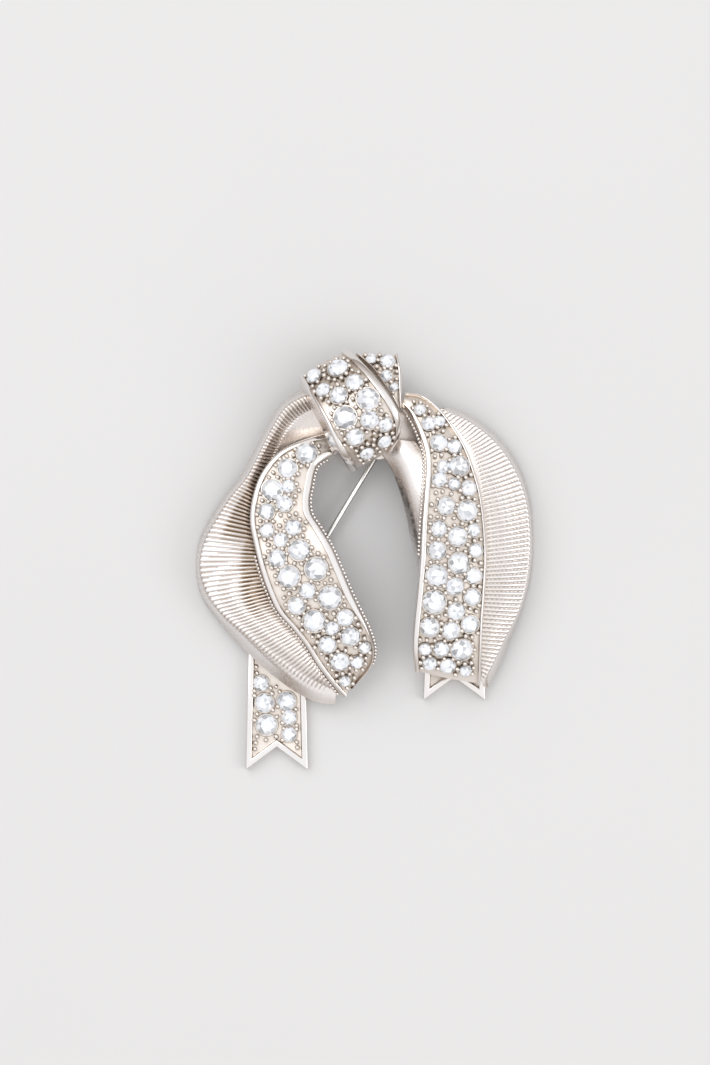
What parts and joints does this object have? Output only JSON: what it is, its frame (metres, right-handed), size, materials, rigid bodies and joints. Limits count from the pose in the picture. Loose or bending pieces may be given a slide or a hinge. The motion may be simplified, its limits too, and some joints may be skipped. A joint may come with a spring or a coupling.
{
  "type": "brooch",
  "caption": "Ribbon-bow brooch with stone-set bands, ribbed loops and a swallow tail, with a hinged pin and a rotating safety catch behind.",
  "frame": {"origin": "under the middle of the outline, on the surface that the brooch lies on with its back down", "axes": "+Z out of the front, +Y towards the top as worn, +X to the right as seen from the front"},
  "size_m": [0.0495, 0.0613, 0.0142],
  "materials": {
    "polished_rhodium": "rhodium-coloured plating, polished",
    "satin_rhodium": "rhodium-coloured plating, softly polished with fine ribs",
    "crystal": "clear foil-backed cut crystal",
    "pin_steel": "drawn and polished steel wire and pressed parts"
  },
  "bodies": {
    "root": {"knot_band": "polished_rhodium", "knot_upper_fold": "polished_rhodium", "left_band": "polished_rhodium", "right_band": "polished_rhodium", "left_milgrain": "polished_rhodium", "right_milgrain": "polished_rhodium", "left_tail": "polished_rhodium", "right_tail": "polished_rhodium", "left_tail_post": "polished_rhodium", "right_tail_post": "polished_rhodium", "left_loop_upper_post": "polished_rhodium", "left_loop_lower_post": "polished_rhodium", "left_loop_knot_post": "polished_rhodium", "left_band_post": "polished_rhodium", "right_band_post": "polished_rhodium", "upper_fold_post": "polished_rhodium", "knot_post": "polished_rhodium", "knot_plate": "polished_rhodium", "pin_joint": "polished_rhodium", "catch_housing": "polished_rhodium", "catch_plate": "polished_rhodium", "left_loop": "satin_rhodium", "right_loop": "satin_rhodium", "right_inner_fold": "satin_rhodium", "knot_crystal_1": "crystal", "knot_crystal_2": "crystal", "knot_crystal_3": "crystal", "knot_crystal_4": "crystal", "knot_crystal_5": "crystal", "knot_crystal_6": "crystal", "knot_crystal_7": "crystal", "knot_crystal_8": "crystal", "knot_crystal_9": "crystal", "knot_crystal_10": "crystal", "knot_crystal_11": "crystal", "knot_crystal_12": "crystal", "fold_crystal_1": "crystal", "fold_crystal_2": "crystal", "fold_crystal_3": "crystal", "fold_crystal_4": "crystal", "left_band_crystals": "crystal", "right_band_crystals": "crystal", "left_tail_crystal_1": "crystal", "left_tail_crystal_2": "crystal", "left_tail_crystal_3": "crystal", "left_tail_crystal_4": "crystal", "left_tail_crystal_5": "crystal", "left_tail_crystal_6": "crystal", "hinge_rivet": "pin_steel"},
    "pin": {"pin_knuckle": "pin_steel", "pin_stem": "pin_steel"},
    "catch_lever": {"catch_lever": "pin_steel"}
  },
  "joints": [
    {"name": "pin_hinge", "type": "hinge", "parent": "root", "child": "pin", "pos_m": [0.0034, 0.018, 0.0019], "axis": [0.8536, -0.521, 0], "range_deg": [0, 90]},
    {"name": "catch_turn", "type": "hinge", "parent": "root", "child": "catch_lever", "pos_m": [-0.01035, -0.00453, 0.0019], "axis": [-0.521, -0.8536, 0], "range_deg": [0, 100]}
  ]
}
